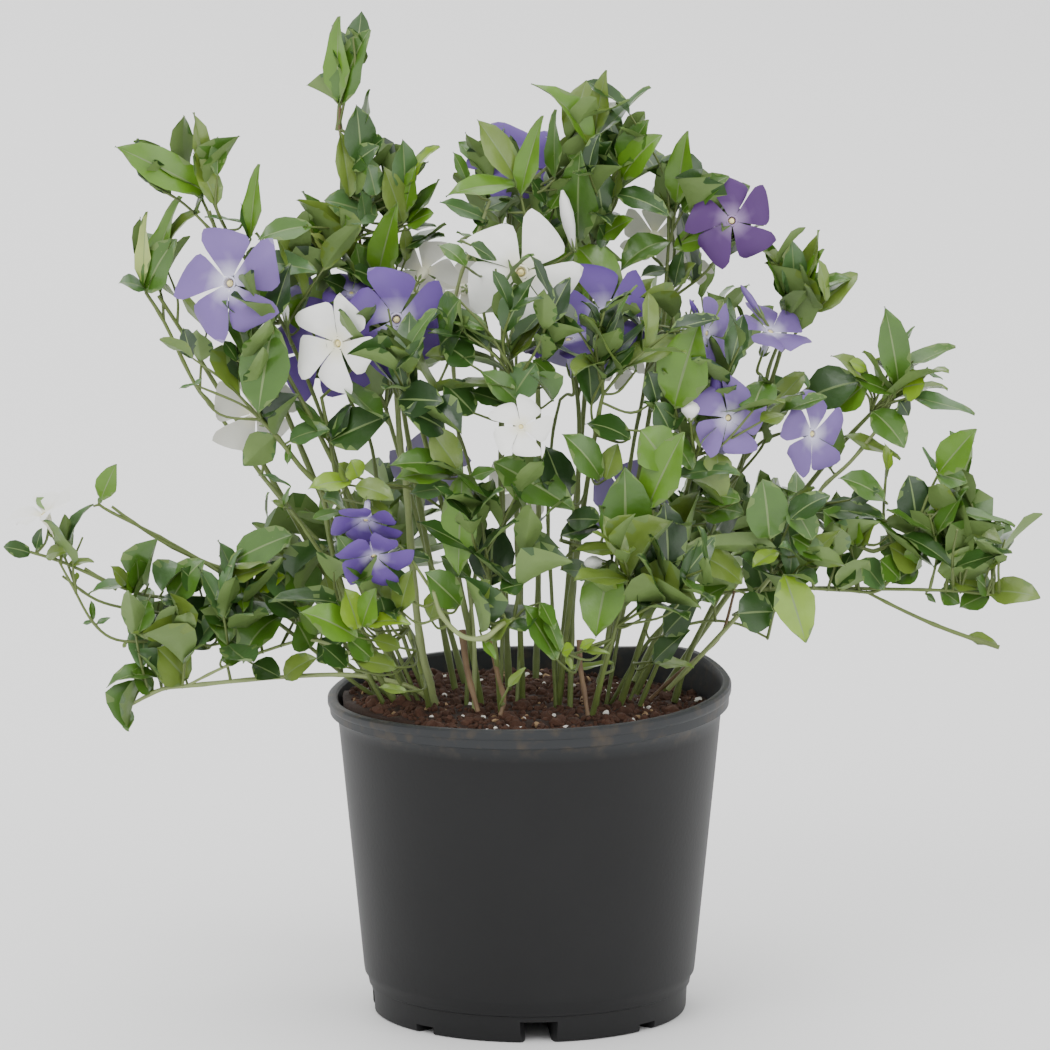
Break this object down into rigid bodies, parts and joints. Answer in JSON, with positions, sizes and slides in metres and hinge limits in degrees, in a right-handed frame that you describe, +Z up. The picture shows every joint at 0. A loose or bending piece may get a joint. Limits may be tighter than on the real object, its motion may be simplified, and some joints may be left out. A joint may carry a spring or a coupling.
{
  "type": "potted lesser periwinkle",
  "caption": "Low flowering shrub with glossy evergreen leaves and five-petalled violet and white flowers, rooted in a round black nursery pot that stands on its own foot.",
  "frame": {"origin": "middle of the pot's underside, on the surface that the pot stands on", "axes": "+Z up along the pot's axis, +X to the right and -Y towards the viewer of the picture"},
  "size_m": [0.3325, 0.1893, 0.3256],
  "materials": {
    "pot_plastic": "satin charcoal moulded plastic",
    "potting_mix": "moist dark crumbs",
    "perlite": "matt off-white grains",
    "stem_bark": "smooth green bark, reddish brown at the foot",
    "foliage": "glossy green leaf, paler beneath",
    "violet_petals": "soft satin",
    "lavender_petals": "soft satin",
    "purple_petals": "soft satin",
    "white_petals": "soft satin",
    "flower_eye": "matt"
  },
  "bodies": {
    "root": {"pot": "pot_plastic", "soil": "potting_mix", "runner_left_high": "stem_bark", "runner_left_tip": "stem_bark", "runner_right_low": "stem_bark", "stem_back_centre": "stem_bark", "stem_back_left": "stem_bark", "stem_back_left_low": "stem_bark", "stem_back_right": "stem_bark", "stem_back_right_low": "stem_bark", "stem_centre_body": "stem_bark", "stem_centre_crown": "stem_bark", "stem_centre_left_body": "stem_bark", "stem_centre_right": "stem_bark", "stem_centre_right_body": "stem_bark", "stem_far_left": "stem_bark", "stem_far_right": "stem_bark", "stem_left_body": "stem_bark", "stem_left_crown": "stem_bark", "stem_left_trail": "stem_bark", "stem_low_centre": "stem_bark", "stem_low_left": "stem_bark", "stem_low_right": "stem_bark", "stem_right_body": "stem_bark", "stem_right_shoot": "stem_bark", "stem_right_trail": "stem_bark", "stem_right_tuft": "stem_bark", "stem_top": "stem_bark", "stem_upper_left": "stem_bark", "back_centre_crown": "foliage", "back_left_crown": "foliage", "back_left_low": "foliage", "back_right_crown": "foliage", "back_right_low": "foliage", "centre_body": "foliage", "centre_crown": "foliage", "centre_crown_right": "foliage", "centre_left_body": "foliage", "centre_right_body": "foliage", "far_left_tuft": "foliage", "far_right_tuft": "foliage", "left_body": "foliage", "left_crown": "foliage", "left_crown_side": "foliage", "left_high_tip": "foliage", "left_trail_low": "foliage", "left_trail_near": "foliage", "left_trail_tip": "foliage", "low_centre_body": "foliage", "low_left_body": "foliage", "low_right_body": "foliage", "right_body": "foliage", "right_low_body": "foliage", "right_shoot_tuft": "foliage", "right_tip_tuft": "foliage", "right_trail_far": "foliage", "right_trail_near": "foliage", "right_tuft": "foliage", "top_tuft": "foliage", "upper_left_tuft": "foliage"}
  },
  "joints": []
}
